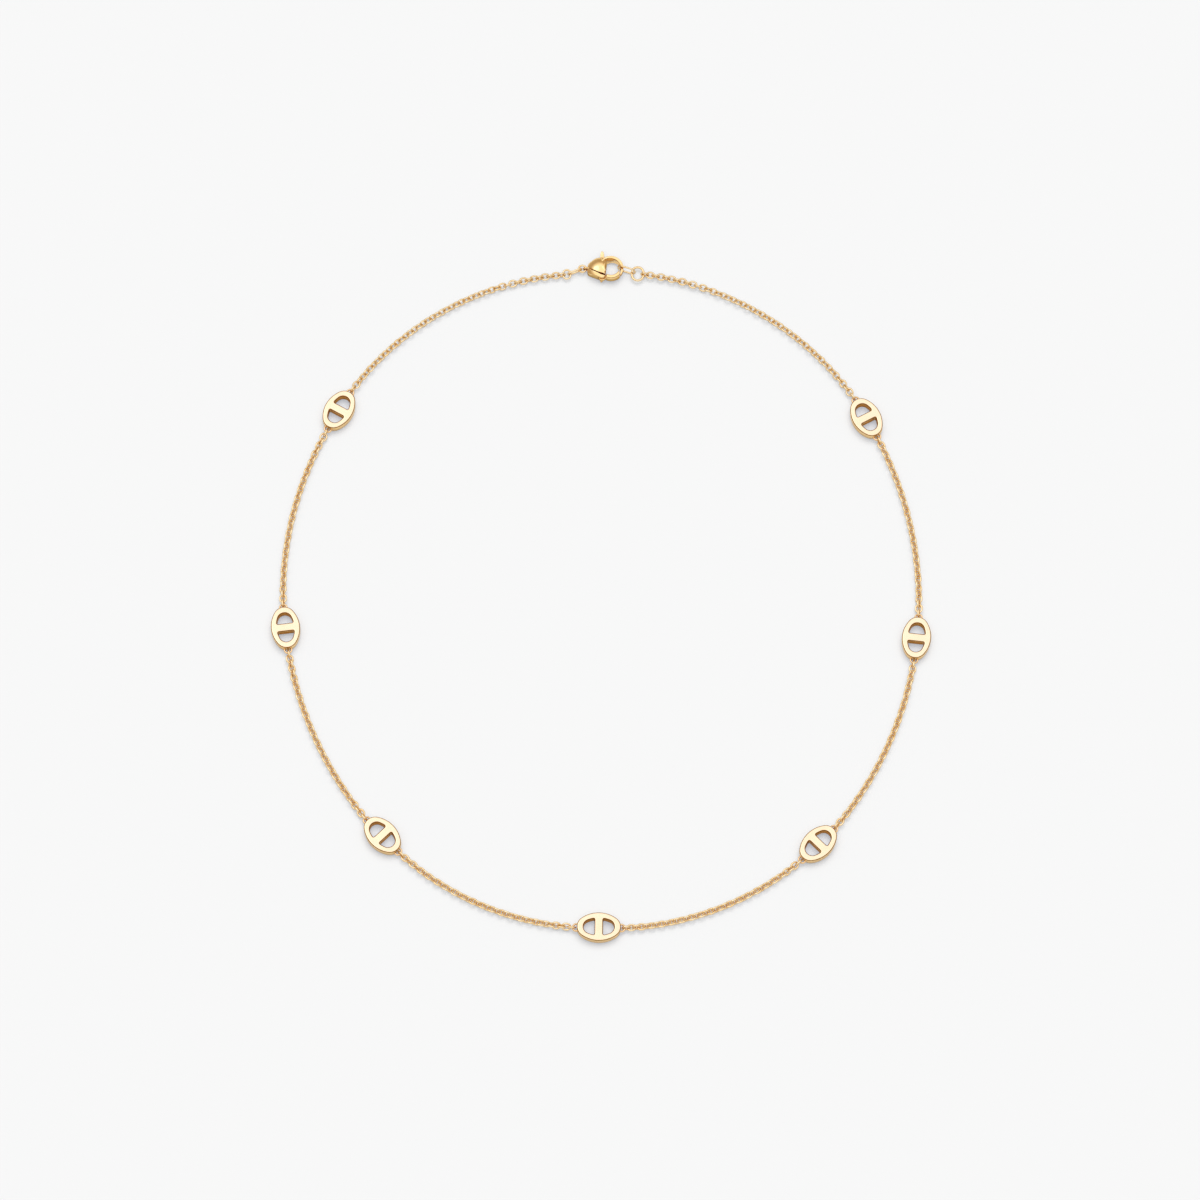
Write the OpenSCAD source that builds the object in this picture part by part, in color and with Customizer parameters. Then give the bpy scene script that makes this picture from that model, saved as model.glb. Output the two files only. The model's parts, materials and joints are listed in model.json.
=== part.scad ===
// Station necklace: seven flat oval links, each with a bar across it, on a fine cable chain
// that closes with a lobster clasp. It lies flat on a surface, clasp at the back (+Y).

/* [Oval links] */
// Length of an oval link along the necklace
plate_len = 9.4; // [9.2:0.1:9.5]
// Width of an oval link across the necklace
plate_w = 6.3; // [6:0.05:6.8]
// Thickness of an oval link
plate_t = 2.1; // [1.8:0.1:2.4]
// Radius of the round ends of an oval link
plate_end_r = 2.4; // [2.1:0.1:2.6]
// Metal between the end of a hole and the end of the link
end_rim = 1.45; // [1.2:0.05:1.6]
// Metal between the side of a hole and the side of the link
side_rim = 1.3; // [1.05:0.05:1.45]
// Radius of the round ends of the two holes together
hole_end_r = 1.5; // [1.2:0.1:1.7]
// Width of the bar across the middle
bar_w = 1.82; // [1.4:0.01:2]
// Outer width of the ring soldered to each end
eye_w = 1.9; // [1.9:0.05:2.1]
// How far that ring stands out from the end of the link
eye_reach = 1.05; // [1.05:0.05:1.2]

/* [Chain] */
// Length of a chain link
link_len = 2.06; // [2.04:0.01:2.07]
// Width of a chain link
link_w = 1.75; // [1.7:0.01:1.8]
// Thickness of the wire of the chain links and of the rings on the left
wire = 0.4; // [0.36:0.01:0.4]
// Small unevenness in how far the links lean
lean_play = 5; // [0:1:6]
// Thickness of the plain runs beside the clasp, which stand for their fine links
run_d = 1.5; // [1.2:0.1:1.6]

/* [Clasp] */
// Height of the clasp's domed body
clasp_t = 2.6; // [2.5:0.1:2.7]
// Outer radius of the hook
hook_r = 2.73; // [2.68:0.01:2.78]
// Thickness of the hook towards its tip, seen from above
hook_wall = 0.62; // [0.58:0.01:0.64]
// Height of the hook at its tip
hook_h = 1; // [0.95:0.01:1.02]
// Thickness of the gate seen from above
gate_wall = 0.9; // [0.85:0.05:1]
// Height of the gate
gate_h = 2.2; // [2:0.05:2.2]
// Width of the thumb tab where it leaves the body
tab_w = 0.85; // [0.7:0.05:0.85]
// Width of the thumb tab at its tip
tab_tip_w = 0.6; // [0.45:0.05:0.65]
// Radius of the rivet that the gate turns on
rivet_r = 0.25; // [0.2:0.01:0.25]

/* [Rings at the clasp] */
// Outer diameter of the ring in the clasp's eye
tail_ring_d = 1.96; // [1.94:0.01:2]
// Length of the oval ring between that one and the chain
chain_ring_len = 2.5; // [2.4:0.05:2.6]
// Width of that oval ring
chain_ring_w = 2; // [2:0.01:2.04]
// Length of the oval ring that the catch link holds
end_ring_len = 3.6; // [3.5:0.05:3.7]
// Width of that oval ring
end_ring_w = 3; // [3:0.01:3.04]
// Wire of the oval ring that the catch link holds
end_ring_wire = 0.5; // [0.46:0.01:0.5]
// Width of the catch link that the hook goes through
catch_w = 2.5; // [2.46:0.01:2.54]

/* [Hidden] */
$fn = 48;

// Where each oval link lies: x, y of its middle and the heading of the necklace there,
// going round anticlockwise from the left of the clasp
PX = 0;
PY = 1;
HEADING = 2;
plates = [
  [-57.05, 41.4, 240.6],
  [-67.9, -8.8, 277],
  [-46.5, -55.5, 314],
  [-0.35, -75.85, 359.2],
  [46.4, -57.35, 44.8],
  [68.1, -11.1, 83.3],
  [58, 39.6, 118.2]
];
// Bend radius of the chain after each of the first six oval links
run_radius = [78, 85, 62, 63, 80, 83];
// Lean of every second link halfway along those runs; the links between lean a right angle less
run_lean = [41, 53, 62, 63, 53, 41];

// Route of the two rear runs, by hand: from the chain ring to link 1, and from link 7 to the end ring
left_rear_route = [
  [-8.9, 73.2], [-13, 72.3], [-17, 71.3], [-21, 70], [-25, 68.5], [-29, 66.8], [-33, 64.6], [-37, 62.3],
  [-41, 59.5], [-44.5, 56.7], [-48, 53.6], [-51, 50.5], [-53.4, 47.3]
];
right_rear_route = [
  [54.9, 45.6], [52, 49.5], [49, 53.1], [45.5, 56.6], [42, 59.6], [38, 62.5], [34, 64.9], [30, 67],
  [26, 68.8], [22, 70.3], [18, 71.5], [14, 72.5], [10.2, 73.4]
];
run_sides = 8;
run_z = 0.78;

// Chain links hang wire inside wire; an even number of them turns a quarter between two flat eyes
links_between = 38;
link_half = (link_w - wire) / 2;
link_reach = link_len / 2 - wire / 2;
eye_z = plate_t / 2;
eye_mid = plate_len / 2 + eye_reach - eye_w / 2;
eye_far = plate_len / 2 + eye_reach - wire / 2;
// A run starts and ends as if the eye's far wire were the end of one more link, with some play
eye_play = 0.03;
run_start = eye_far - link_reach + eye_play;

// Clasp: middle of the hook, pivot of the gate, and the circles that the body's outline wraps
hook_at = [2.33, 74.75];
pivot_at = [0.4, 72.8];
tail_front_at = [-1.95, 74.15];
tail_back_at = [-1.85, 75.3];
tail_r = 0.95;
bulge_at = [-0.1, 75.95];
bulge_r = 1.5;
ear_at = [0.42, 72.9];
ear_r = 0.66;
hub_r = 0.85;
hub_room = 0.45;
clasp_foot = 0.1;
clasp_mid_z = 1.3;
dome_at = [-0.05, 74.5];
dome_r = 4.1;
mouth_at = [2.75, 74.8];
mouth_r = 1.8;
// The mouth narrows downwards, and a low lip runs round it on top
mouth_slope = 0.16;
lip_w = 0.4;
lip_rise = 0.07;
boss_at = [0.2, 72.1];
boss_z = 0.43;
boss_r = 0.3;
// Groove along the top of the body beside its front edge: x, y and width at each point
groove_line = [[-2.35, 74.5, 0.4], [-1.7, 74.08, 0.12], [-0.6, 73.5, 0.15], [0.2, 73.2, 0.38], [1, 72.98, 0.26]];
groove_z = 1.55;

// The hook is taller at its root than past this distance from its middle
hook_tip = -40;
hook_root = 150;
hook_root_h = 2;
hook_low_x = 2;
hook_edge = 0.22;
// The hook's inside leans: how far the middle of the opening lies from the hook's middle, and how much
// wider the opening is there, at its top and at its bottom
hook_in_top = [-0.03, 0.03, 0.21];
hook_in_low = [0.07, -0.65, -0.11];
// The gate's tip and the hook's tip face each other on a circle round the pivot
tip_r = 3.85;
tip_gap = 0.08;
gate_start = -125;
gate_end = -25;
gate_edge = 0.3;
gate_round = 0.45;
lever_z = 1.12;
lever_t = 0.62;
slot_t = 0.76;
slot_clear = 0.1;
tab_taper_y = 77.9;
tab_end_y = 78.8;
open_angle = 25;
rivet_fit = 0.05;
// The rivet is pressed in from below and ends inside the top of the body
rivet_head_r = 0.35;
rivet_head_t = 0.25;
rivet_low = clasp_foot + 0.02;
rivet_top = 1.86;
// The clasp's own eye is a small upright ring
clasp_eye_at = [-3.1, 74.8];
clasp_eye_z = 1;
clasp_eye_r = 0.6;
clasp_eye_wire = 0.4;

// Rings beside the clasp
ring_gap = 0.11;
tail_ring_z = 1;
tail_ring_r = (tail_ring_d - wire) / 2;
tail_ring_at = [
  clasp_eye_at[0] - clasp_eye_r + (clasp_eye_wire + wire) / 2 + ring_gap - tail_ring_r,
  clasp_eye_at[1]
];
chain_ring_z = 0.82;
chain_ring_at = [-7.4, 73.55];
joining_w = 1.6;
joining_b = chain_ring_at + [chain_ring_w / 2 - wire * 3 / 2 - ring_gap, 0.05];
joining_line = joining_b - tail_ring_at;
joining_a = tail_ring_at + joining_line / norm(joining_line) * (tail_ring_r - wire - ring_gap);
end_ring_at = [8.18, 73.6];
end_ring_z = 1;
catch_wire = 0.4;
catch_lean = 84;
catch_a = [3.92, 75.04];
catch_gap = 0.2;
catch_b = end_ring_at + [(catch_wire - end_ring_w) / 2 + end_ring_wire + catch_gap, 0.25];
catch_za = clasp_mid_z;
catch_zb = 1.26;

link_color = [0.93, 0.75, 0.42];
plate_color = [0.98, 0.88, 0.62];
clasp_color = [0.93, 0.72, 0.38];

function heading_vec(a) = [cos(a), sin(a)];
function heading_of(v) = atan2(v[1], v[0]);
function plate_at(i) = [plates[i][PX], plates[i][PY]];
function run_a(i) = plate_at(i) + run_start * heading_vec(plates[i][HEADING]);
function run_b(i) = plate_at(i + 1) - run_start * heading_vec(plates[i + 1][HEADING]);

// How strongly an oval link holds the chain at a share t of a run, +1 at the first and -1 at the next
function hold(t) = pow(1 - 2 * t, 5);
function lean_at(lean, t) = lean + hold(t) * (t < 0.5 ? 90 - lean : lean);
// Height of the links where they lie on the surface, and at a share t of a run
function low_z(lean) = link_half * sin(max(lean, 90 - lean) + lean_play) + wire / 2 + 0.01;
function link_z(lean, t) = low_z(lean) + (eye_z - low_z(lean)) * abs(hold(t));

// Point and heading a share t along an arc of radius r that bends left from a to b
function left_of(v) = [-v[1], v[0]] / norm(v);
function arc_mid(a, b, r) = (a + b) / 2 + sqrt(pow(r, 2) - pow(norm(b - a) / 2, 2)) * left_of(b - a);
function arc_span(a, b, r) = 2 * asin(norm(b - a) / 2 / r);
function arc_first(a, b, r) = heading_of(a - arc_mid(a, b, r));
function arc_turn(a, b, r, t) = arc_first(a, b, r) + t * arc_span(a, b, r);
function arc_point(a, b, r, t) = arc_mid(a, b, r) + r * heading_vec(arc_turn(a, b, r, t));

// Outline of an oval of four arcs: two end circles and two flat side arcs that run into them
function side_radius(len, w, end_r) =
  (pow(len / 2 - end_r, 2) + pow(w / 2, 2) - pow(end_r, 2)) / (w - 2 * end_r);

module oval(len, w, end_r) {
  big_r = side_radius(len, w, end_r);
  join_x = (len / 2 - end_r) * big_r / (big_r - end_r);
  union() {
    for (s = [-1, 1]) {
      translate([s * (len / 2 - end_r), 0])
        circle(r = end_r);
    }
    intersection() {
      translate([0, w / 2 - big_r])
        circle(r = big_r);
      translate([0, big_r - w / 2])
        circle(r = big_r);
      square([2 * join_x - 0.02, w + 1], center = true);
    }
  }
}

// Round ring of wire that lies flat
module wire_ring(mid_r, wire_d) {
  rotate_extrude()
    translate([mid_r, 0])
      circle(d = wire_d);
}

// Link of wire with straight sides and round ends, flat, with its length along X
module wire_link(len, w, wire_d) {
  bend_r = (w - wire_d) / 2;
  half_side = (len - w) / 2;
  union() {
    for (s = [0, 180]) {
      rotate([0, 0, s])
        translate([half_side, 0, 0])
          rotate([0, 0, -90])
            rotate_extrude(angle = 180)
              translate([bend_r, 0])
                circle(d = wire_d);
      rotate([0, 0, s])
        translate([-half_side, bend_r, 0])
          rotate([0, 90, 0])
            cylinder(d = wire_d, h = 2 * half_side);
    }
  }
}

// Link whose end wires have their middles at a and b, at heights za and zb, leaning about its length
module link_between(a, b, za, zb, w, wire_d, lean) {
  span = norm(b - a);
  translate([(a[0] + b[0]) / 2, (a[1] + b[1]) / 2, (za + zb) / 2])
    rotate([0, 0, heading_of(b - a)])
      rotate([0, -atan2(zb - za, span), 0])
        rotate([lean, 0, 0])
          wire_link(round(50 * norm([span, zb - za])) / 50 + wire_d, w, wire_d);
}

module oval_link(i) {
  color(plate_color)
    translate([plates[i][PX], plates[i][PY], 0])
      rotate([0, 0, plates[i][HEADING]])
        union() {
          linear_extrude(plate_t)
            difference() {
              oval(plate_len, plate_w, plate_end_r);
              difference() {
                oval(plate_len - 2 * end_rim, plate_w - 2 * side_rim, hole_end_r);
                square([bar_w, plate_w], center = true);
              }
            }
          for (s = [-1, 1]) {
            translate([s * eye_mid, 0, eye_z])
              wire_ring((eye_w - wire) / 2, wire);
          }
        }
}

// Run of interlocking links from one oval link to the next: every second one stands across the others,
// and together they twist by a quarter turn
module chain_run(i) {
  a = run_a(i);
  b = run_b(i);
  r = run_radius[i];
  color(link_color)
    for (k = [1:links_between]) {
      t = k / (links_between + 1);
      lean = lean_at(run_lean[i], t) - (k % 2 == 0 ? 90 : 0) + lean_play * sin(k * 77 + i * 50);
      p = arc_point(a, b, r, t);
      translate([p[0], p[1], link_z(run_lean[i], t)])
        rotate([0, 0, arc_turn(a, b, r, t) + 90])
          rotate([lean, 0, 0])
            wire_link(link_len, link_w, wire);
    }
}

// Plain round run swept along a route, closed at both ends
function route_heading(route, i) =
  heading_of(route[min(i + 1, len(route) - 1)] - route[max(i - 1, 0)]);
function route_ring(route, i) = [
  for (k = [0:run_sides - 1])
    let (a = 360 * k / run_sides, h = route_heading(route, i))
      [
        route[i][0] - sin(h) * cos(a) * run_d / 2,
        route[i][1] + cos(h) * cos(a) * run_d / 2,
        run_z + sin(a) * run_d / 2
      ]
];

module plain_run(route) {
  rings = len(route);
  n = run_sides;
  points = [for (i = [0:rings - 1]) each route_ring(route, i)];
  sides = [
    for (i = [0:rings - 2], k = [0:n - 1])
      [i * n + k, (i + 1) * n + k, (i + 1) * n + (k + 1) % n, i * n + (k + 1) % n]
  ];
  first_end = [for (k = [0:n - 1]) k];
  last_end = [for (k = [0:n - 1]) rings * n - 1 - k];
  color(link_color)
    polyhedron(points = points, faces = concat([first_end, last_end], sides));
}

// Disc round the pivot, from height z up
module pivot_disc(r, h, z) {
  translate([pivot_at[0], pivot_at[1], z])
    cylinder(r = r, h = h);
}

// Piece of a flat ring round the pivot, at the height of the gate's hub
module pivot_sector(from, to, inner, outer, h) {
  translate([pivot_at[0], pivot_at[1], lever_z - h / 2])
    rotate([0, 0, from])
      rotate_extrude(angle = to - from)
        translate([inner, 0])
          square([outer - inner, h]);
}

// Straight bar from the pivot to the back, turned by an angle
module tab_bar(w, h, len, turn) {
  translate([pivot_at[0], pivot_at[1], lever_z - h / 2])
    rotate([0, 0, turn])
      translate([-w / 2, 0, 0])
        cube([w, len, h]);
}

// Piece of a ring round the middle of the hook, of a section drawn with Z from the bottom up
module hook_arc(from, to, h) {
  translate([hook_at[0], hook_at[1], clasp_mid_z - h / 2])
    rotate([0, 0, from])
      rotate_extrude(angle = to - from)
        children();
}

// Disc of the opening inside the hook, at a height
module hook_in(spot, z) {
  translate([hook_at[0] + spot[0], hook_at[1] + spot[1], z])
    cylinder(r = hook_r - hook_wall + spot[2], h = 0.1, center = true);
}

// Hook, thick at its root and lower towards its tip, cut back there so that the gate can swing past inside it
module clasp_hook() {
  inner = hook_r - 2 * hook_wall - hook_edge;
  h = hook_root_h;
  low_x = hook_at[0] + hook_low_x;
  far_x = hook_at[0] + 2 * hook_r;
  difference() {
    intersection() {
      hook_arc(hook_tip, hook_root, h)
        polygon([
          [inner, 0], [hook_r - hook_edge, 0],
          [hook_r, hook_edge], [hook_r, h - hook_edge],
          [hook_r - hook_edge, h], [inner, h]
        ]);
      translate([0, hook_at[1] + 2 * hook_r, clasp_mid_z])
        rotate([90, 0, 0])
          linear_extrude(4 * hook_r)
            polygon([
              [hook_at[0] - hook_r, -h / 2], [low_x, -hook_h / 2], [far_x, -hook_h / 2],
              [far_x, hook_h / 2], [low_x, hook_h / 2], [hook_at[0] - hook_r, h / 2]
            ]);
    }
    hull() {
      hook_in(hook_in_top, clasp_mid_z + hook_root_h / 2);
      hook_in(hook_in_low, clasp_mid_z - hook_root_h / 2);
    }
    pivot_sector(-20, 24, 0, tip_r + tip_gap, clasp_t);
  }
}

// Upright teardrop column, the body seen from above
module clasp_column() {
  translate([0, 0, clasp_foot])
    linear_extrude(clasp_t)
      hull() {
        translate(tail_front_at)
          circle(r = tail_r);
        translate(tail_back_at)
          circle(r = tail_r);
        translate(bulge_at)
          circle(r = bulge_r);
        translate(ear_at)
          circle(r = ear_r);
      }
}

// Ball whose top makes the dome, so much larger than the dome's own radius
module dome_ball(more) {
  translate([dome_at[0], dome_at[1], clasp_t - dome_r])
    sphere(r = dome_r + more, $fn = 128);
}

// Domed teardrop with the mouth cut out of its front
module clasp_dome() {
  low_r = mouth_r - mouth_slope * clasp_t;
  difference() {
    intersection() {
      clasp_column();
      union() {
        dome_ball(0);
        intersection() {
          dome_ball(lip_rise);
          translate([mouth_at[0], mouth_at[1], clasp_t / 2])
            cylinder(r = mouth_r + lip_w, h = clasp_t);
        }
      }
    }
    translate([mouth_at[0], mouth_at[1], 0])
      cylinder(r1 = low_r, r2 = mouth_r, h = clasp_t);
    translate([mouth_at[0], mouth_at[1], clasp_t])
      cylinder(r = mouth_r, h = 1);
  }
}

module clasp_groove() {
  for (i = [0:len(groove_line) - 2]) {
    translate([0, 0, groove_z])
      linear_extrude(clasp_t)
        hull() {
          for (spot = [groove_line[i], groove_line[i + 1]]) {
            translate([spot[0], spot[1]])
              circle(d = spot[2], $fn = 12);
          }
        }
  }
}

// Room inside the body for the hub of the gate and for its tab, from shut to open
module lever_room() {
  pivot_disc(hub_r + slot_clear, slot_t, lever_z - slot_t / 2);
  pivot_sector(90, 90 + open_angle, 0, 8, slot_t);
  for (turn = [0, open_angle]) {
    tab_bar(tab_w + 2 * slot_clear, slot_t, 8, turn);
  }
}

module clasp_body() {
  color(clasp_color)
    union() {
      difference() {
        union() {
          clasp_dome();
          clasp_hook();
        }
        lever_room();
        clasp_groove();
        pivot_sector(-80, open_angle + 30, hub_r, hub_r + hub_room, 2 * clasp_t);
        pivot_disc(rivet_r + rivet_fit, rivet_top + rivet_fit, 0);
        pivot_disc(rivet_head_r + rivet_fit, rivet_low + rivet_head_t + rivet_fit, 0);
      }
      translate([boss_at[0], boss_at[1], boss_z])
        sphere(r = boss_r);
      translate([clasp_eye_at[0], clasp_eye_at[1], clasp_eye_z])
        rotate([90, 0, 0])
          wire_ring(clasp_eye_r, clasp_eye_wire);
    }
}

// Gate that closes the mouth, its hub on the rivet and the thumb tab at the back
module clasp_lever() {
  inner = hook_r - gate_wall;
  round_x = hook_r - gate_round;
  low = lever_z - lever_t / 2;
  color(clasp_color)
    difference() {
      union() {
        intersection() {
          hook_arc(gate_start, gate_end, gate_h)
            polygon([
              for (a = [-90:30:0]) [round_x + gate_round * cos(a), gate_round + gate_round * sin(a)],
              for (a = [0:30:90]) [round_x + gate_round * cos(a), gate_h - gate_round + gate_round * sin(a)],
              [inner + gate_edge / 2, gate_h], [inner, gate_h - gate_edge],
              [inner, gate_edge], [inner + gate_edge / 2, 0]
            ]);
          pivot_disc(tip_r, clasp_t, 0);
        }
        pivot_disc(hub_r, lever_t, low);
        tab_bar(tab_w, lever_t, tab_taper_y - pivot_at[1], 0);
        translate([pivot_at[0], 0, low])
          linear_extrude(lever_t)
            hull() {
              translate([0, tab_end_y - tab_tip_w / 2])
                circle(d = tab_tip_w);
              translate([0, tab_taper_y])
                square([tab_w, 0.02], center = true);
            }
      }
      pivot_disc(hub_r + slot_clear, clasp_t, low + lever_t);
      pivot_disc(hub_r + slot_clear, low, 0);
      pivot_disc(rivet_r + rivet_fit, clasp_t, 0);
    }
}

module clasp_rivet() {
  color(clasp_color)
    union() {
      pivot_disc(rivet_r, rivet_top - rivet_low, rivet_low);
      pivot_disc(rivet_head_r, rivet_head_t, rivet_low);
    }
}

module tail_ring() {
  color(link_color)
    translate([tail_ring_at[0], tail_ring_at[1], tail_ring_z])
      wire_ring(tail_ring_r, wire);
}

module joining_link() {
  color(link_color)
    link_between(joining_a, joining_b, tail_ring_z, chain_ring_z, joining_w, wire, 90);
}

module chain_ring() {
  color(link_color)
    translate([chain_ring_at[0], chain_ring_at[1], chain_ring_z])
      rotate([0, 0, 90])
        wire_link(chain_ring_len, chain_ring_w, wire);
}

module catch_link() {
  color(link_color)
    link_between(catch_a, catch_b, catch_za, catch_zb, catch_w, catch_wire, catch_lean);
}

module end_ring() {
  color(link_color)
    translate([end_ring_at[0], end_ring_at[1], end_ring_z])
      rotate([0, 0, 90])
        wire_link(end_ring_len, end_ring_w, end_ring_wire);
}

oval_link(0);  // oval_link_1
oval_link(1);  // oval_link_2
oval_link(2);  // oval_link_3
oval_link(3);  // oval_link_4
oval_link(4);  // oval_link_5
oval_link(5);  // oval_link_6
oval_link(6);  // oval_link_7
plain_run(left_rear_route);  // chain_left_rear
chain_run(0);  // chain_1_2
chain_run(1);  // chain_2_3
chain_run(2);  // chain_3_4
chain_run(3);  // chain_4_5
chain_run(4);  // chain_5_6
chain_run(5);  // chain_6_7
plain_run(right_rear_route);  // chain_right_rear
clasp_body();
clasp_lever();
clasp_rivet();
tail_ring();
joining_link();
chain_ring();
catch_link();
end_ring();
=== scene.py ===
# %% [markdown]
# # A necklace of oval links on a fine cable chain
#
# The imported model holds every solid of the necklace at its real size. This lesson dresses it for a
# photograph. It sets the camera and the soft light, mixes the gold finishes, and models in Blender
# what the solids show poorly: the rounded rims of the oval links, the fine links beside the clasp,
# and the soft edges of the cast clasp.

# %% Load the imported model
import json
import math

import bmesh
import bpy
from mathutils import Matrix, Vector

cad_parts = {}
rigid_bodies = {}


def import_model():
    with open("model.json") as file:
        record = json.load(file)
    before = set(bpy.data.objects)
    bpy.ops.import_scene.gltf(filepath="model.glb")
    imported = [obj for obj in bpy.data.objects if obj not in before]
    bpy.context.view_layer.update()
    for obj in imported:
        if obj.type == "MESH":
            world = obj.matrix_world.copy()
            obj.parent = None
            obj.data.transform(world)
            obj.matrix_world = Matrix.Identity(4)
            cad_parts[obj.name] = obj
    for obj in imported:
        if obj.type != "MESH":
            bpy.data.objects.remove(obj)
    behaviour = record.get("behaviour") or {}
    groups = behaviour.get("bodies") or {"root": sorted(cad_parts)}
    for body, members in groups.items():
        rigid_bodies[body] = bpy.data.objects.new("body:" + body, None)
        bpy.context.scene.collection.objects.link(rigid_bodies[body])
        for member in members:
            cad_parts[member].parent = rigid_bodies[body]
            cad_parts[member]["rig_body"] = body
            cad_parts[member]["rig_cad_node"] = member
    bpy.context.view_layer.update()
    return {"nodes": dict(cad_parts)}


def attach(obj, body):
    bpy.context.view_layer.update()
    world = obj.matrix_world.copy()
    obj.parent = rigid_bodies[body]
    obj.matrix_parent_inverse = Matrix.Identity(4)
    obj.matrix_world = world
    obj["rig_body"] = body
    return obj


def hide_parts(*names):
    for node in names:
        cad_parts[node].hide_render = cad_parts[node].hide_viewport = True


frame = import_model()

MM = 0.001
print("nodes:", len(frame["nodes"]))

# %% [markdown]
# ## Camera
#
# A flat thing is photographed from nearly overhead. Here the camera stands 71 degrees above the
# surface: at that angle the six runs of chain between the oval links all come out equally long.
# Straight overhead would hide the walls of the oval links. A long lens from far away keeps the
# loop's far side as large as its near side.

# %% Camera
VIEW_HEIGHT = math.radians(71)
VIEW_DISTANCE = 1383.7 * MM
VIEW_TARGET = Vector((-0.1, -1.9, 0)) * MM
LENS = 192
SENSOR_WIDTH = 36
CLIP_START = 0.05

bpy.ops.object.camera_add()
camera = bpy.context.object
toward_camera = Vector((0, -math.cos(VIEW_HEIGHT), math.sin(VIEW_HEIGHT)))
camera.location = VIEW_TARGET + VIEW_DISTANCE * toward_camera
view_line = VIEW_TARGET - camera.location
camera.rotation_euler = view_line.to_track_quat("-Z", "Y").to_euler()
camera.data.lens = LENS
camera.data.sensor_width = SENSOR_WIDTH
camera.data.clip_start = CLIP_START
bpy.context.scene.camera = camera
print("camera stands at", [round(v, 3) for v in camera.location])

# %% [markdown]
# ## Floor and light
#
# Polished gold shows whatever stands round it, so lamps alone would leave it black between their
# reflections. Jewellery is therefore lit inside a white tent with darker gaps. The bright top of
# the tent makes the flat faces pale, and the darker band below it draws the lines along the
# rounded edges.
#
# The floor is plain paper. It glows a little, cooler than the warm tent, so that it stays a
# neutral near white and its shadows stay soft.

# %% Floor
FLOOR_SIZE = 8
FLOOR_TONE = (0.451, 0.438, 0.416, 1)
FLOOR_GLOW = (0.30, 0.345, 0.40, 1)

bpy.ops.mesh.primitive_plane_add(size=FLOOR_SIZE, location=(0, 0, 0))
floor = bpy.context.object
floor.name = "floor"
paper = bpy.data.materials.new("white_paper")
paper.use_nodes = True
paper_shader = paper.node_tree.nodes["Principled BSDF"]
paper_shader.inputs["Base Color"].default_value = FLOOR_TONE
paper_shader.inputs["Roughness"].default_value = 1
paper_shader.inputs["Specular IOR Level"].default_value = 0
paper_shader.inputs["Emission Color"].default_value = FLOOR_GLOW
paper_shader.inputs["Emission Strength"].default_value = 1
floor.data.materials.append(paper)
print("floor", FLOOR_SIZE, "m wide")

# %% [markdown]
# The tent is the world's own background, because a real tent of cloth would hide the lamps and
# show up in views from the side. Its light changes with height above the horizon. In front, where
# the photographer stands, the darker band reaches higher up than behind, and the two blend at the
# sides.

# %% The tent: light by height, from 0 at the horizon to 1 overhead
TENT_FRONT = [
    (0.00, (0.60, 0.52, 0.42)), (0.26, (0.50, 0.38, 0.26)), (0.50, (0.44, 0.32, 0.20)),
    (0.68, (0.64, 0.52, 0.40)), (0.80, (1.15, 1.15, 1.15)), (1.00, (1.20, 1.20, 1.20)),
]
TENT_BACK = [
    (0.00, (0.60, 0.52, 0.42)), (0.25, (0.50, 0.38, 0.26)), (0.46, (0.52, 0.40, 0.28)),
    (0.64, (0.92, 0.84, 0.73)), (0.77, (1.20, 1.20, 1.20)), (1.00, (1.20, 1.20, 1.20)),
]

world = bpy.data.worlds.new("tent")
bpy.context.scene.world = world
world.use_nodes = True
nodes = world.node_tree.nodes
links = world.node_tree.links
direction = nodes.new("ShaderNodeTexCoord")
split = nodes.new("ShaderNodeSeparateXYZ")
links.new(direction.outputs["Generated"], split.inputs["Vector"])


def tent_side(bands):
    """Colour ramp by height above the horizon."""
    ramp = nodes.new("ShaderNodeValToRGB")
    links.new(split.outputs["Z"], ramp.inputs["Fac"])
    halfway = 0.5
    while len(ramp.color_ramp.elements) < len(bands):
        ramp.color_ramp.elements.new(halfway)
    for element, (height, light) in zip(ramp.color_ramp.elements, bands):
        element.position = height
        element.color = (*light, 1)
    return ramp.outputs["Color"]


print("tent bands:", len(TENT_FRONT), "in front,", len(TENT_BACK), "behind")

# %% Blend the front of the tent into its back
SIDE_BLEND = 0.25

behind = nodes.new("ShaderNodeMapRange")
behind.inputs["From Min"].default_value = -SIDE_BLEND
behind.inputs["From Max"].default_value = SIDE_BLEND
links.new(split.outputs["Y"], behind.inputs["Value"])
sides = nodes.new("ShaderNodeMixRGB")
links.new(behind.outputs["Result"], sides.inputs["Fac"])
links.new(tent_side(TENT_FRONT), sides.inputs["Color1"])
links.new(tent_side(TENT_BACK), sides.inputs["Color2"])
links.new(sides.outputs["Color"], nodes["Background"].inputs["Color"])
print("tent nodes:", len(nodes))

# %% [markdown]
# Two lamps add what the tent lacks. The wide one stands a little behind the necklace and gives the
# shadows their direction. Metal doesn't mirror it, because a second bright patch would hide the
# lines of the tent. The weak one stands behind on the left, and the metal mirrors it as a soft glow
# on rounded tops.

# %% Two lamps, with angles in degrees
WIDE = {"lean": 24, "side": -12, "spread": 40, "strength": 1.7, "mirrored": False}
KEY = {"lean": 28, "side": 55, "spread": 34, "strength": 0.15, "mirrored": True}

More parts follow.
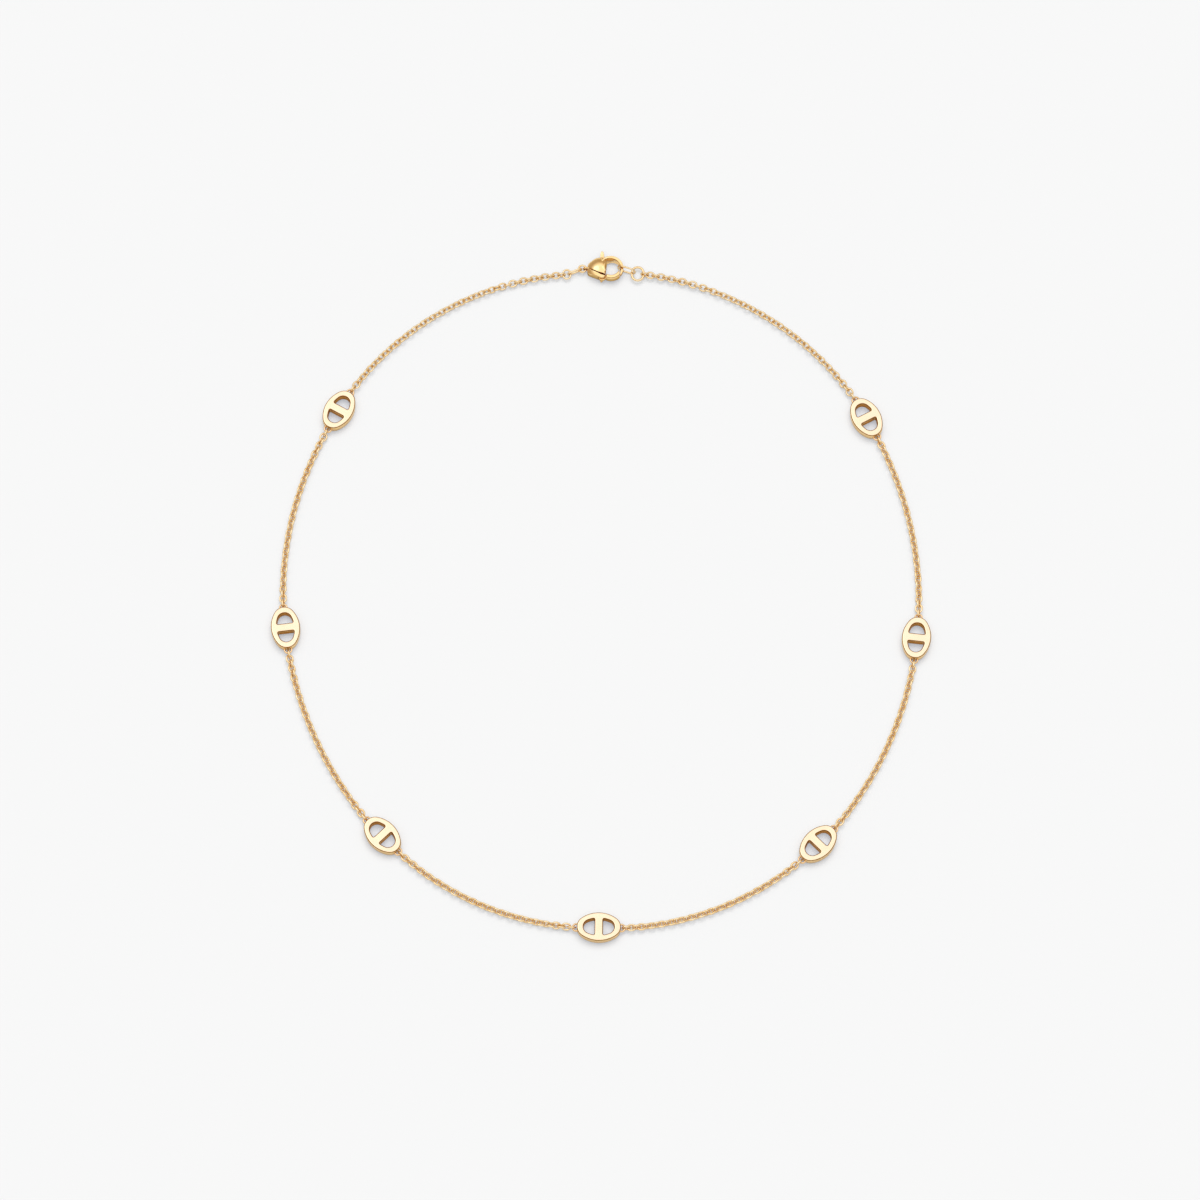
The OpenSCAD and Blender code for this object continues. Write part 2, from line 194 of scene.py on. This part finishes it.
for name, lamp in (("wide", WIDE), ("key", KEY)):
    lean = Matrix.Rotation(-math.radians(lamp["lean"]), 4, "X")
    turn = Matrix.Rotation(math.radians(lamp["side"]), 4, "Z") @ lean
    bpy.ops.object.light_add(type="SUN", rotation=turn.to_euler())
    sun = bpy.context.object
    sun.name = name
    sun.data.angle = math.radians(lamp["spread"])
    sun.data.energy = lamp["strength"]
    sun.visible_glossy = lamp["mirrored"]
bpy.context.scene.view_settings.view_transform = "Standard"
print("lamps:", WIDE["strength"], "and", KEY["strength"], "W/m2")

# %% [markdown]
# ## Gold finishes
#
# The whole necklace is plated with the same metal, but it doesn't look alike. Flat polished faces
# mirror the white tent and look pale, while walls and fine wire mirror their neighbours and look
# deeper. One shared material would lose that at this size, so each kind of surface gets a gold of
# its own, and that light and shade is painted into its colour: a painted highlight on the flat faces
# of the oval links, painted shade on the walls of their holes and in all hollows, and a painted dark
# line along their rims.
#
# Each finish is a metal whose tone, roughness and surface wander a little, as hand polishing leaves
# them. Its colour is painted deeper in hollows, a painted shade for where gold mirrors gold and
# little light comes in. The specular tint is the colour that metal shows edge-on, and a brown one
# draws the dark outlines of the fine wire. All patterns are set in the piece's own millimetres, so
# they stay where they are from every side.

# %% One helper mixes every gold
TONE_DETAIL = 2
PATCH_BLEND = (0.35, 0.65)
OPEN_SHARES = (0.25, 0.9)
OPEN_SAMPLES = 6
GRAIN_PER_PATCH = 9
GRAIN_DETAIL = 4
ROUGHNESS_PLAY = 0.3
RIPPLE = 0.01


def gold(name, pale, deep, hollow_shade, edge, reach, roughness, patch):
    """Metal in two tones by patches of so many mm, a darker colour painted into hollows within a
    reach in mm as painted shade, and one for where it is seen edge-on."""
    material = bpy.data.materials.new(name)
    material.use_nodes = True
    nodes = material.node_tree.nodes
    links = material.node_tree.links
    shader = nodes["Principled BSDF"]
    shader.inputs["Metallic"].default_value = 1
    shader.inputs["Specular Tint"].default_value = (*edge, 1)
    place = nodes.new("ShaderNodeTexCoord").outputs["Object"]

    tone = nodes.new("ShaderNodeTexNoise")
    tone.inputs["Scale"].default_value = 1 / (patch * MM)
    tone.inputs["Detail"].default_value = TONE_DETAIL
    links.new(place, tone.inputs["Vector"])
    colours = nodes.new("ShaderNodeValToRGB")
    for element, position, colour in zip(colours.color_ramp.elements, PATCH_BLEND, (deep, pale)):
        element.position = position
        element.color = (*colour, 1)
    links.new(tone.outputs["Fac"], colours.inputs["Fac"])

    # Painted shade: where the surface is shut in within the reach, its colour turns to the hollow
    # colour.
    open_share = nodes.new("ShaderNodeAmbientOcclusion")
    open_share.samples = OPEN_SAMPLES
    open_share.inputs["Distance"].default_value = reach * MM
    shade_amount = nodes.new("ShaderNodeMapRange")
    shade_amount.inputs["From Min"].default_value = OPEN_SHARES[0]
    shade_amount.inputs["From Max"].default_value = OPEN_SHARES[1]
    links.new(open_share.outputs["AO"], shade_amount.inputs["Value"])
    blend = nodes.new("ShaderNodeMixRGB")
    blend.inputs["Color1"].default_value = (*hollow_shade, 1)
    links.new(shade_amount.outputs["Result"], blend.inputs["Fac"])
    links.new(colours.outputs["Color"], blend.inputs["Color2"])
    links.new(blend.outputs["Color"], shader.inputs["Base Color"])

    grain = nodes.new("ShaderNodeTexNoise")
    grain.inputs["Scale"].default_value = GRAIN_PER_PATCH / (patch * MM)
    grain.inputs["Detail"].default_value = GRAIN_DETAIL
    links.new(place, grain.inputs["Vector"])
    dull = nodes.new("ShaderNodeMapRange")
    dull.inputs["To Min"].default_value = roughness * (1 - ROUGHNESS_PLAY)
    dull.inputs["To Max"].default_value = roughness * (1 + ROUGHNESS_PLAY)
    links.new(grain.outputs["Fac"], dull.inputs["Value"])
    links.new(dull.outputs["Result"], shader.inputs["Roughness"])

    bump = nodes.new("ShaderNodeBump")
    bump.inputs["Strength"].default_value = 1
    bump.inputs["Distance"].default_value = RIPPLE * MM
    links.new(tone.outputs["Fac"], bump.inputs["Height"])
    links.new(bump.outputs["Normal"], shader.inputs["Normal"])
    return material


print("gold ripples", RIPPLE, "mm deep")

# %% The golds of the oval links, three of them with painted light and shade
BUFFED_EDGE = (0.95, 0.90, 0.80)
WALL_EDGE = (0.78, 0.64, 0.46)

# The face gold is paler than the side gold: a painted highlight for flat faces that mirror the
# bright tent.
face_gold_painted_highlight = gold(
    "face_gold_painted_highlight", pale=(1.0, 0.79, 0.565), deep=(0.97, 0.755, 0.53), hollow_shade=(0.9, 0.6, 0.3),
    edge=BUFFED_EDGE, reach=0.6, roughness=0.16, patch=3.0)
# The hole gold is brown with a darker edge tint: painted shade for hole walls that mirror each
# other.
hole_gold_painted_shade = gold(
    "hole_gold_painted_shade", pale=(0.64, 0.30, 0.09), deep=(0.52, 0.22, 0.05), hollow_shade=(0.45, 0.18, 0.04),
    edge=WALL_EDGE, reach=0.6, roughness=0.30, patch=1.0)
# The rim gold is near brown: a painted dark reflection along the rims.
rim_gold_painted_dark_line = gold(
    "rim_gold_painted_dark_line", pale=(0.44, 0.28, 0.10), deep=(0.37, 0.22, 0.07), hollow_shade=(0.33, 0.17, 0.05),
    edge=BUFFED_EDGE, reach=0.6, roughness=0.14, patch=2.0)
side_gold = gold(
    "side_gold", pale=(0.97, 0.68, 0.34), deep=(0.93, 0.61, 0.26), hollow_shade=(0.55, 0.30, 0.10),
    edge=BUFFED_EDGE, reach=1.0, roughness=0.14, patch=2.0)
print("oval link finishes:", face_gold_painted_highlight.name, hole_gold_painted_shade.name, rim_gold_painted_dark_line.name, side_gold.name)

# %% The finishes of the chain and the clasp
WIRE_EDGE = (0.50, 0.34, 0.17)

chain_gold = gold(
    "chain_gold", pale=(1.0, 0.84, 0.56), deep=(0.98, 0.74, 0.40), hollow_shade=(0.84, 0.54, 0.25),
    edge=WIRE_EDGE, reach=0.6, roughness=0.12, patch=1.7)
clasp_gold = gold(
    "clasp_gold", pale=(1.0, 0.77, 0.42), deep=(0.96, 0.67, 0.31), hollow_shade=(0.50, 0.23, 0.05),
    edge=WIRE_EDGE, reach=1.5, roughness=0.12, patch=2.5)
print("chain and clasp finishes:", chain_gold.name, clasp_gold.name)

# %% [markdown]
# ## Modelling as by hand
#
# Every new piece is drawn flat or as a ring of wire, in edit mode, and grows by spinning and
# extruding. A spin turns what is selected about a centre and leaves the turned copy selected, so
# spins can follow each other like strokes of a pen. These helpers select by place, because no
# mouse is at hand.

# %% Helpers for selecting
def only(piece):
    """Make one piece the selected and active one."""
    bpy.ops.object.select_all(action="DESELECT")
    piece.select_set(True)
    bpy.context.view_layer.objects.active = piece


def pick(piece, kind, test):
    """In edit mode, select just the VERT, EDGE or FACE elements that pass a test."""
    bpy.ops.mesh.select_mode(type=kind)
    bpy.ops.mesh.select_all(action="DESELECT")
    shape = bmesh.from_edit_mesh(piece.data)
    groups = {"VERT": shape.verts, "EDGE": shape.edges, "FACE": shape.faces}
    for element in groups[kind]:
        if test(element):
            element.select_set(True)
    shape.select_flush_mode()
    bmesh.update_edit_mesh(piece.data)


print("selecting helpers:", only.__name__, pick.__name__)

# %% Helpers for drawing and finishing
TOUCH = 0.001


def spin(angle, centre, steps):
    """Turn the selection about an upright line through a point in mm, anticlockwise from above."""
    bpy.ops.mesh.spin(steps=steps, angle=angle, center=Vector((*centre, 0)) * MM, axis=(0, 0, -1))


def extrude(dx, dy, dz=0):
    """Extrude the selection and move it by mm."""
    step = Vector((dx, dy, dz)) * MM
    bpy.ops.mesh.extrude_region_move(TRANSFORM_OT_translate={"value": step})


def merge_all():
    """Select all of the mesh and merge the points that touch."""
    bpy.ops.mesh.select_all(action="SELECT")
    bpy.ops.mesh.remove_doubles(threshold=TOUCH * MM)


def measure(piece):
    """In edit mode, print how many faces and open edges a piece has, and its volume."""
    shape = bmesh.from_edit_mesh(piece.data)
    print(piece.name, "faces:", len(shape.faces),
          "open edges:", sum(not edge.is_manifold for edge in shape.edges),
          "volume mm3:", round(shape.calc_volume() / MM ** 3, 3))


def modify(piece, kind, **settings):
    """Add a modifier, set it and apply it."""
    only(piece)
    modifier = piece.modifiers.new(kind.lower(), kind)
    for name, value in settings.items():
        setattr(modifier, name, value)
    bpy.ops.object.modifier_apply(modifier=modifier.name)


print("points closer than", TOUCH, "mm are merged")

# %% [markdown]
# ## The oval link
#
# Each oval link is a flat plate with a bar across it, so it has two D-shaped holes. It could be
# cut out of a disc with booleans, but those leave uneven edges that bevel badly. Here its outline
# is an oval of four arcs, a tight one round each end and a wide one along each side, and half of
# the plate is drawn as one closed line with spins, filled, and mirrored across the long axis.
# Extruding gives the thickness.

# %% Arcs of an oval, sizes in mm: length, width, radius of the end arcs
PLATE = (9.4, 6.3, 2.4)
HOLES = (6.5, 3.7, 1.5)


def side_arc(length, width, end_r):
    """Radius of the wide arc of a four-arc oval, and the angle at which the end arc joins it."""
    to_end = length / 2 - end_r
    side_r = (to_end ** 2 + (width / 2) ** 2 - end_r ** 2) / (width - 2 * end_r)
    return side_r, math.atan2(side_r - width / 2, to_end)


plate_side_r, plate_join = side_arc(*PLATE)
hole_side_r, hole_join = side_arc(*HOLES)
print("side arcs, mm:", round(plate_side_r, 2), round(hole_side_r, 2))

# %% Draw the outer half of the outline, from one point
END_STEPS = 12
SIDE_STEPS = 20

bpy.ops.object.select_all(action="DESELECT")
bpy.ops.mesh.primitive_plane_add(size=MM, location=Vector((PLATE[0] / 2, 0, 0)) * MM)
plate = bpy.context.object
plate.name = "oval_plate"
bpy.ops.object.transform_apply(location=True)
bpy.ops.object.mode_set(mode="EDIT")
bpy.ops.mesh.merge(type="CENTER")

end_x = PLATE[0] / 2 - PLATE[2]
side_y = plate_side_r - PLATE[1] / 2
spin(plate_join, (end_x, 0), END_STEPS)
spin(math.pi - 2 * plate_join, (0, -side_y), SIDE_STEPS)
spin(plate_join, (-end_x, 0), END_STEPS)
print("points in the outer half:", len(bmesh.from_edit_mesh(plate.data).verts))

# %% Draw back along both holes and the bar between them
BAR_HALF = 0.91
HOLE_SIDE_STEPS = 4

hole_x = HOLES[0] / 2 - HOLES[2]
hole_y = hole_side_r - HOLES[1] / 2
corner_y = math.sqrt(hole_side_r ** 2 - BAR_HALF ** 2) - hole_y
corner = math.atan2(corner_y + hole_y, BAR_HALF)
extrude((PLATE[0] - HOLES[0]) / 2, 0)
spin(-hole_join, (-hole_x, 0), END_STEPS)
spin(hole_join - corner, (0, -hole_y), HOLE_SIDE_STEPS)
extrude(0, -corner_y)
extrude(2 * BAR_HALF, 0)
extrude(0, corner_y)
spin(hole_join - corner, (0, -hole_y), HOLE_SIDE_STEPS)
spin(-hole_join, (hole_x, 0), END_STEPS)
merge_all()
print("points in the half outline:", len(bmesh.from_edit_mesh(plate.data).verts))

# %% Fill, mirror and extrude
PLATE_T = 2.1

bpy.ops.mesh.select_all(action="SELECT")
bpy.ops.mesh.edge_face_add()
bpy.ops.mesh.duplicate()
bpy.ops.transform.mirror(constraint_axis=(False, True, False), center_override=(0, 0, 0))
merge_all()
extrude(0, 0, PLATE_T)
bpy.ops.mesh.select_all(action="SELECT")
bpy.ops.mesh.normals_make_consistent(inside=False)
measure(plate)

# %% [markdown]
# Polishing rounds every edge of the plate, and it is the rounded rim that catches the dark line in
# the light. Bevels do this well here, because the edges are long and even. The upright corners
# beside the bar are rounded first, so that the rims run round them in one sweep. Further down, the
# rims also get a darker gold, so their dark line is partly a painted dark reflection.

# %% Round the corners of the holes, then the rims
CORNER_R = 0.3
RIM_R = 0.3
BEVEL_STEPS = 4
NEAR = 0.01
SHARP = math.radians(60)


def upright_at_bar(edge):
    a, b = (v.co / MM for v in edge.verts)
    upright = abs(a.x - b.x) + abs(a.y - b.y) < NEAR
    return upright and abs(abs(a.x) - BAR_HALF) < NEAR and abs(a.y) > corner_y / 2


def on_rim(edge):
    return len(edge.link_faces) == 2 and edge.calc_face_angle() > SHARP


pick(plate, "EDGE", upright_at_bar)
bpy.ops.mesh.bevel(offset=CORNER_R * MM, segments=BEVEL_STEPS)
pick(plate, "EDGE", on_rim)
bpy.ops.mesh.bevel(offset=RIM_R * MM, segments=BEVEL_STEPS)
measure(plate)
bpy.ops.object.mode_set(mode="OBJECT")

# %% [markdown]
# A small ring is soldered to each end of the plate, and the chain hooks into it. It is a plain
# ring of wire, so a torus sunk into the plate's rounded end is the real shape. Weighted normals
# keep the flat faces flat in the light up to where the rounding starts.

# %% Solder a ring to each end
EYE_MID_X = 4.8
EYE_R = 0.75
EYE_STEPS = 36
EYE_SIDES = 14
EYE_Z = PLATE_T / 2
WIRE = 0.4
FACE_WEIGHT = 80

eyes = []
for x in (-EYE_MID_X, EYE_MID_X):
    bpy.ops.object.select_all(action="DESELECT")
    bpy.ops.mesh.primitive_torus_add(
        location=Vector((x, 0, EYE_Z)) * MM, major_radius=EYE_R * MM, minor_radius=WIRE / 2 * MM,
        major_segments=EYE_STEPS, minor_segments=EYE_SIDES)
    bpy.ops.object.transform_apply(location=True)
    eyes.append(bpy.context.object)
only(plate)
for eye in eyes:
    eye.select_set(True)
bpy.ops.object.join()
bpy.ops.object.shade_smooth()
modify(plate, "WEIGHTED_NORMAL", weight=FACE_WEIGHT, keep_sharp=False)
print("oval plate:", len(plate.data.polygons), "faces")

# %% [markdown]
# The plate is one metal all over, but here its faces get different colours by how light falls on
# them: the flat faces are painted paler as a painted highlight of the bright tent, the walls of the
# holes are painted brown as painted shade where they mirror each other and the shaded floor, and
# the rims carry a thin painted dark line, a painted reflection of the tent's darker band. A face's
# normal and place tell which of these it is.

# %% Give each kind of face its gold, with light and shade painted by normal and place
FLAT = 0.97
LEANING = 0.3
SIDEWAYS = 0.99
RIM_FROM = 0.5

finishes = (face_gold_painted_highlight, side_gold, hole_gold_painted_shade, rim_gold_painted_dark_line)
for finish in finishes:
    plate.data.materials.append(finish)
for face in plate.data.polygons:
    middle = face.center / MM
    normal = face.normal
    inward = normal.x * middle.x + normal.y * middle.y < 0 or abs(normal.x) > SIDEWAYS
    in_hole = abs(middle.x) < HOLES[0] / 2 + NEAR and abs(middle.y) < HOLES[1] / 2 + NEAR
    # Painted light and shade: flat faces get the paler gold, hole walls the brown one, rims the dark
    # line.
    if abs(normal.z) > FLAT:
        finish = face_gold_painted_highlight
    elif in_hole and inward and abs(normal.z) < LEANING:
        finish = hole_gold_painted_shade
    elif abs(normal.z) > LEANING and abs(middle.z - EYE_Z) > RIM_FROM:
        finish = rim_gold_painted_dark_line
    else:
        finish = side_gold
    face.material_index = finishes.index(finish)
for index, finish in enumerate(finishes):
    print(finish.name, sum(face.material_index == index for face in plate.data.polygons), "faces")

# %% [markdown]
# All seven oval links are copies of this one. Each copy gets a mesh of its own and lies where its
# solid lies, turned to the heading of the necklace there.

# %% Lay the seven oval links: x and y in mm, heading in degrees
PLATES = [
    (-57.05, 41.4, 240.6), (-67.9, -8.8, 277), (-46.5, -55.5, 314), (-0.35, -75.85, 359.2),
    (46.4, -57.35, 44.8), (68.1, -11.1, 83.3), (58, 39.6, 118.2),
]


def place_copy(template, name, matrix):
    """Copy a finished piece with a mesh of its own, its place in its mesh."""
    piece = template.copy()
    piece.data = template.data.copy()
    piece.name = name
    piece.data.transform(matrix)
    bpy.context.scene.collection.objects.link(piece)
    return piece


for number, (x, y, heading) in enumerate(PLATES, 1):
    turn = Matrix.Rotation(math.radians(heading), 4, "Z")
    move = Matrix.Translation(Vector((x, y, 0)) * MM)
    piece = place_copy(plate, f"oval_plate_{number}", move @ turn)
    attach(piece, "necklace")
    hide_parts(f"oval_link_{number}")
bpy.data.objects.remove(plate)
print("oval links laid:", len(PLATES))

# %% [markdown]
# ## The fine links beside the clasp
#
# A cable chain is one small link repeated, each standing across the last. In the solids the two
# long runs beside the clasp are plain round runs, so here they get their real links. A torus would
# need scaling out of round to be a link. Instead a hexagon of wire is spun round one bend, drawn
# along the side, spun round the other bend and drawn back, which also keeps a link to a few dozen
# faces.

# %% One link
LINK_LENGTH = 2.06
LINK_WIDTH = 1.75
WIRE_SIDES = 6
BEND_STEPS = 6

bend = (LINK_WIDTH - WIRE) / 2
half = (LINK_LENGTH - LINK_WIDTH) / 2
bpy.ops.object.select_all(action="DESELECT")
bpy.ops.mesh.primitive_circle_add(
    vertices=WIRE_SIDES, radius=WIRE / 2 * MM, location=Vector((half, bend, 0)) * MM,
    rotation=(0, math.pi / 2, 0))
link = bpy.context.object
link.name = "fine_link"
bpy.ops.object.transform_apply(location=True, rotation=True)
bpy.ops.object.mode_set(mode="EDIT")
spin(-math.pi, (half, 0), BEND_STEPS)
extrude(-2 * half, 0)
spin(-math.pi, (-half, 0), BEND_STEPS)
extrude(2 * half, 0)
merge_all()
bpy.ops.mesh.normals_make_consistent(inside=False)
measure(link)
bpy.ops.object.mode_set(mode="OBJECT")
bpy.ops.object.shade_smooth()
link.data.materials.append(chain_gold)

# %% [markdown]
# The links could follow a curve with an array modifier, but then all would lie alike. On a table a
# slack chain leans to one side and the other by turns, and it turns flat or upright towards each
# ring, so that every link still hangs in the next. Beside the clasp the pull keeps the links flat
# and upright for longer. So each link is laid by itself along an arc. With an even number of links
# the run twists by a quarter turn on its way.

# %% The lean of the links, in degrees, and where a run starts, in mm
REACH = LINK_LENGTH / 2 - WIRE / 2
LEAN = 45
LEAN_SKEW = 19
LEAN_PLAY = 5
LEAN_PLAY_STEP = 77
LIFT = 0.01
EYE_PLAY = 0.03
LOW_Z = bend * math.sin(math.radians(LEAN + LEAN_SKEW + LEAN_PLAY)) + WIRE / 2 + LIFT
RUN_START = EYE_MID_X + EYE_R - REACH + EYE_PLAY


def toward(x, y, heading, distance):
    """The point at a distance from x, y in a heading."""
    turn = math.radians(heading)
    return Vector((x + distance * math.cos(turn), y + distance * math.sin(turn)))


def arc_places(a, b, radius, count):
    """Points and headings of so many places evenly between a and b, on an arc that bends left."""
    across = (b - a) / 2
    left = Vector((-across.y, across.x)).normalized()
    centre = (a + b) / 2 + left * math.sqrt(radius ** 2 - across.length_squared)
    first = math.atan2(*(a - centre).yx)
    span = 2 * math.asin(across.length / radius)
    for k in range(1, count + 1):
        turn = first + span * k / (count + 1)
        yield centre + radius * Vector((math.cos(turn), math.sin(turn))), turn + math.pi / 2


print("a leaning link lies", round(LOW_Z, 3), "mm high, and a run starts", round(RUN_START, 3),
      "mm from the middle of its oval link")

# %% Lay one run
CLASP_HOLDS = 0.16
CLASP_LETS_GO = 0.18
EYE_HOLD_FADE = 5


def hold(share, by_clasp):
    """How strongly the ring at a run's end holds a link that far from it, as a share of the run."""
    if by_clasp:
        ease = min(max((share - CLASP_HOLDS) / CLASP_LETS_GO, 0), 1)
        return 1 - ease * ease * (3 - 2 * ease)
    return max(1 - 2 * share, 0) ** EYE_HOLD_FADE


def lay_links(name, a, b, radius, count, z_first, z_last, seed, clasp_first):
    """Lay a run of interlocking links from a to b and join them into one piece."""
    run = []
    for k, (spot, heading) in enumerate(arc_places(a, b, radius, count), 1):
        share = k / (count + 1)
        at_first = hold(share, clasp_first)
        at_last = hold(1 - share, not clasp_first)
        z = LOW_Z + (z_first - LOW_Z) * at_first + (z_last - LOW_Z) * at_last
        lean = LEAN + LEAN_SKEW * math.cos(heading)
        last_lean = 90 if count % 2 else 0
        lean += (90 - lean) * at_first + (last_lean - lean) * at_last
        lean += LEAN_PLAY * math.sin(math.radians(k * LEAN_PLAY_STEP + seed))
        lean -= 0 if k % 2 else 90
        turn = Matrix.Rotation(heading, 4, "Z") @ Matrix.Rotation(math.radians(lean), 4, "X")
        move = Matrix.Translation(Vector((*spot, z)) * MM)
        run.append(place_copy(link, f"{name}_{k}", move @ turn))
    only(run[0])
    for piece in run:
        piece.select_set(True)
    bpy.ops.object.join()
    run[0].name = name
    return run[0]


print("the clasp holds the first", CLASP_HOLDS, "of a run")

# %% Lay the two rear runs
RING_LEFT = Vector((-7.37, 73.52))
RING_RIGHT = Vector((8.575, 73.6))

left_links = lay_links(
    "left_rear_links", RING_LEFT, toward(*PLATES[0], -RUN_START), radius=63.4, count=46,
    z_first=0.82, z_last=EYE_Z, seed=20, clasp_first=True)
right_links = lay_links(
    "right_rear_links", toward(*PLATES[6], RUN_START), RING_RIGHT, radius=65.3, count=47,
    z_first=EYE_Z, z_last=1.0, seed=60, clasp_first=False)
bpy.data.objects.remove(link)
for piece, node in ((left_links, "chain_left_rear"), (right_links, "chain_right_rear")):
    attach(piece, "necklace")
    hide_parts(node)
    print(piece.name, len(piece.data.polygons), "faces")

# %% [markdown]
# ## The cast clasp
#
# A lobster clasp is cast in one piece and tumbled until every edge is soft. Its solid has the
# right form with sharp edges. Bevels fail on so many short edges, but remeshing a copy into tiny
# even squares and smoothing them wears all edges down alike, the way tumbling does. Voxels have a
# smallest size, so the copy is made a thousand times larger first, which makes a metre of it a
# millimetre, and is brought back afterwards.

# %% Wear down a copy of a cast part
def tumble(node, name, voxel, rounds, keep):
    """Soften all edges of a copy of a solid, with voxels of so many mm and so many rounds of
    smoothing, and keep a share of its faces."""
    piece = place_copy(frame["nodes"][node], name, Matrix.Scale(1 / MM, 4))
    piece.parent = None
    only(piece)
    bpy.ops.mesh.customdata_custom_splitnormals_clear()
    bpy.ops.object.mode_set(mode="EDIT")
    bpy.ops.mesh.select_all(action="SELECT")
    bpy.ops.mesh.remove_doubles(threshold=TOUCH)
    bpy.ops.object.mode_set(mode="OBJECT")
    modify(piece, "REMESH", mode="VOXEL", voxel_size=voxel)
    modify(piece, "SMOOTH", factor=0.5, iterations=rounds)
    modify(piece, "DECIMATE", ratio=keep)
    piece.data.transform(Matrix.Scale(MM, 4))
    bpy.ops.object.shade_smooth()
    piece.data.materials.clear()
    piece.data.materials.append(clasp_gold)
    print(name, len(piece.data.polygons), "faces")
    return piece


# %% The body and the gate
body = tumble("clasp_body", "cast_body", voxel=0.028, rounds=60, keep=0.3)
gate = tumble("clasp_lever", "cast_gate", voxel=0.025, rounds=60, keep=0.3)
for piece, part, node in ((body, "necklace", "clasp_body"), (gate, "gate", "clasp_lever")):
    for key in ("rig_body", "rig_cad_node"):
        del piece[key]
    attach(piece, part)
    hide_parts(node)

# %% [markdown]
# ## Finishes for the solids that stay
#
# The six runs between the oval links, the rings and the rivet already have their real shapes, so
# they only need a finish. Solids that are replaced get one too, though they don't show.

# %% Finish the solids
FINISHES = {"chain": chain_gold, "ring": chain_gold, "clasp": clasp_gold, "oval_link": side_gold}

for solid in frame["nodes"].values():
    slot = solid.material_slots[0]
    slot.material = FINISHES[slot.material.name.split(".")[0]]
print("solids finished:", len(frame["nodes"]))

# %% [markdown]
# ## Sizes
#
# The dressed necklace must keep the size of its solids.

# %% Finish
print("finished")
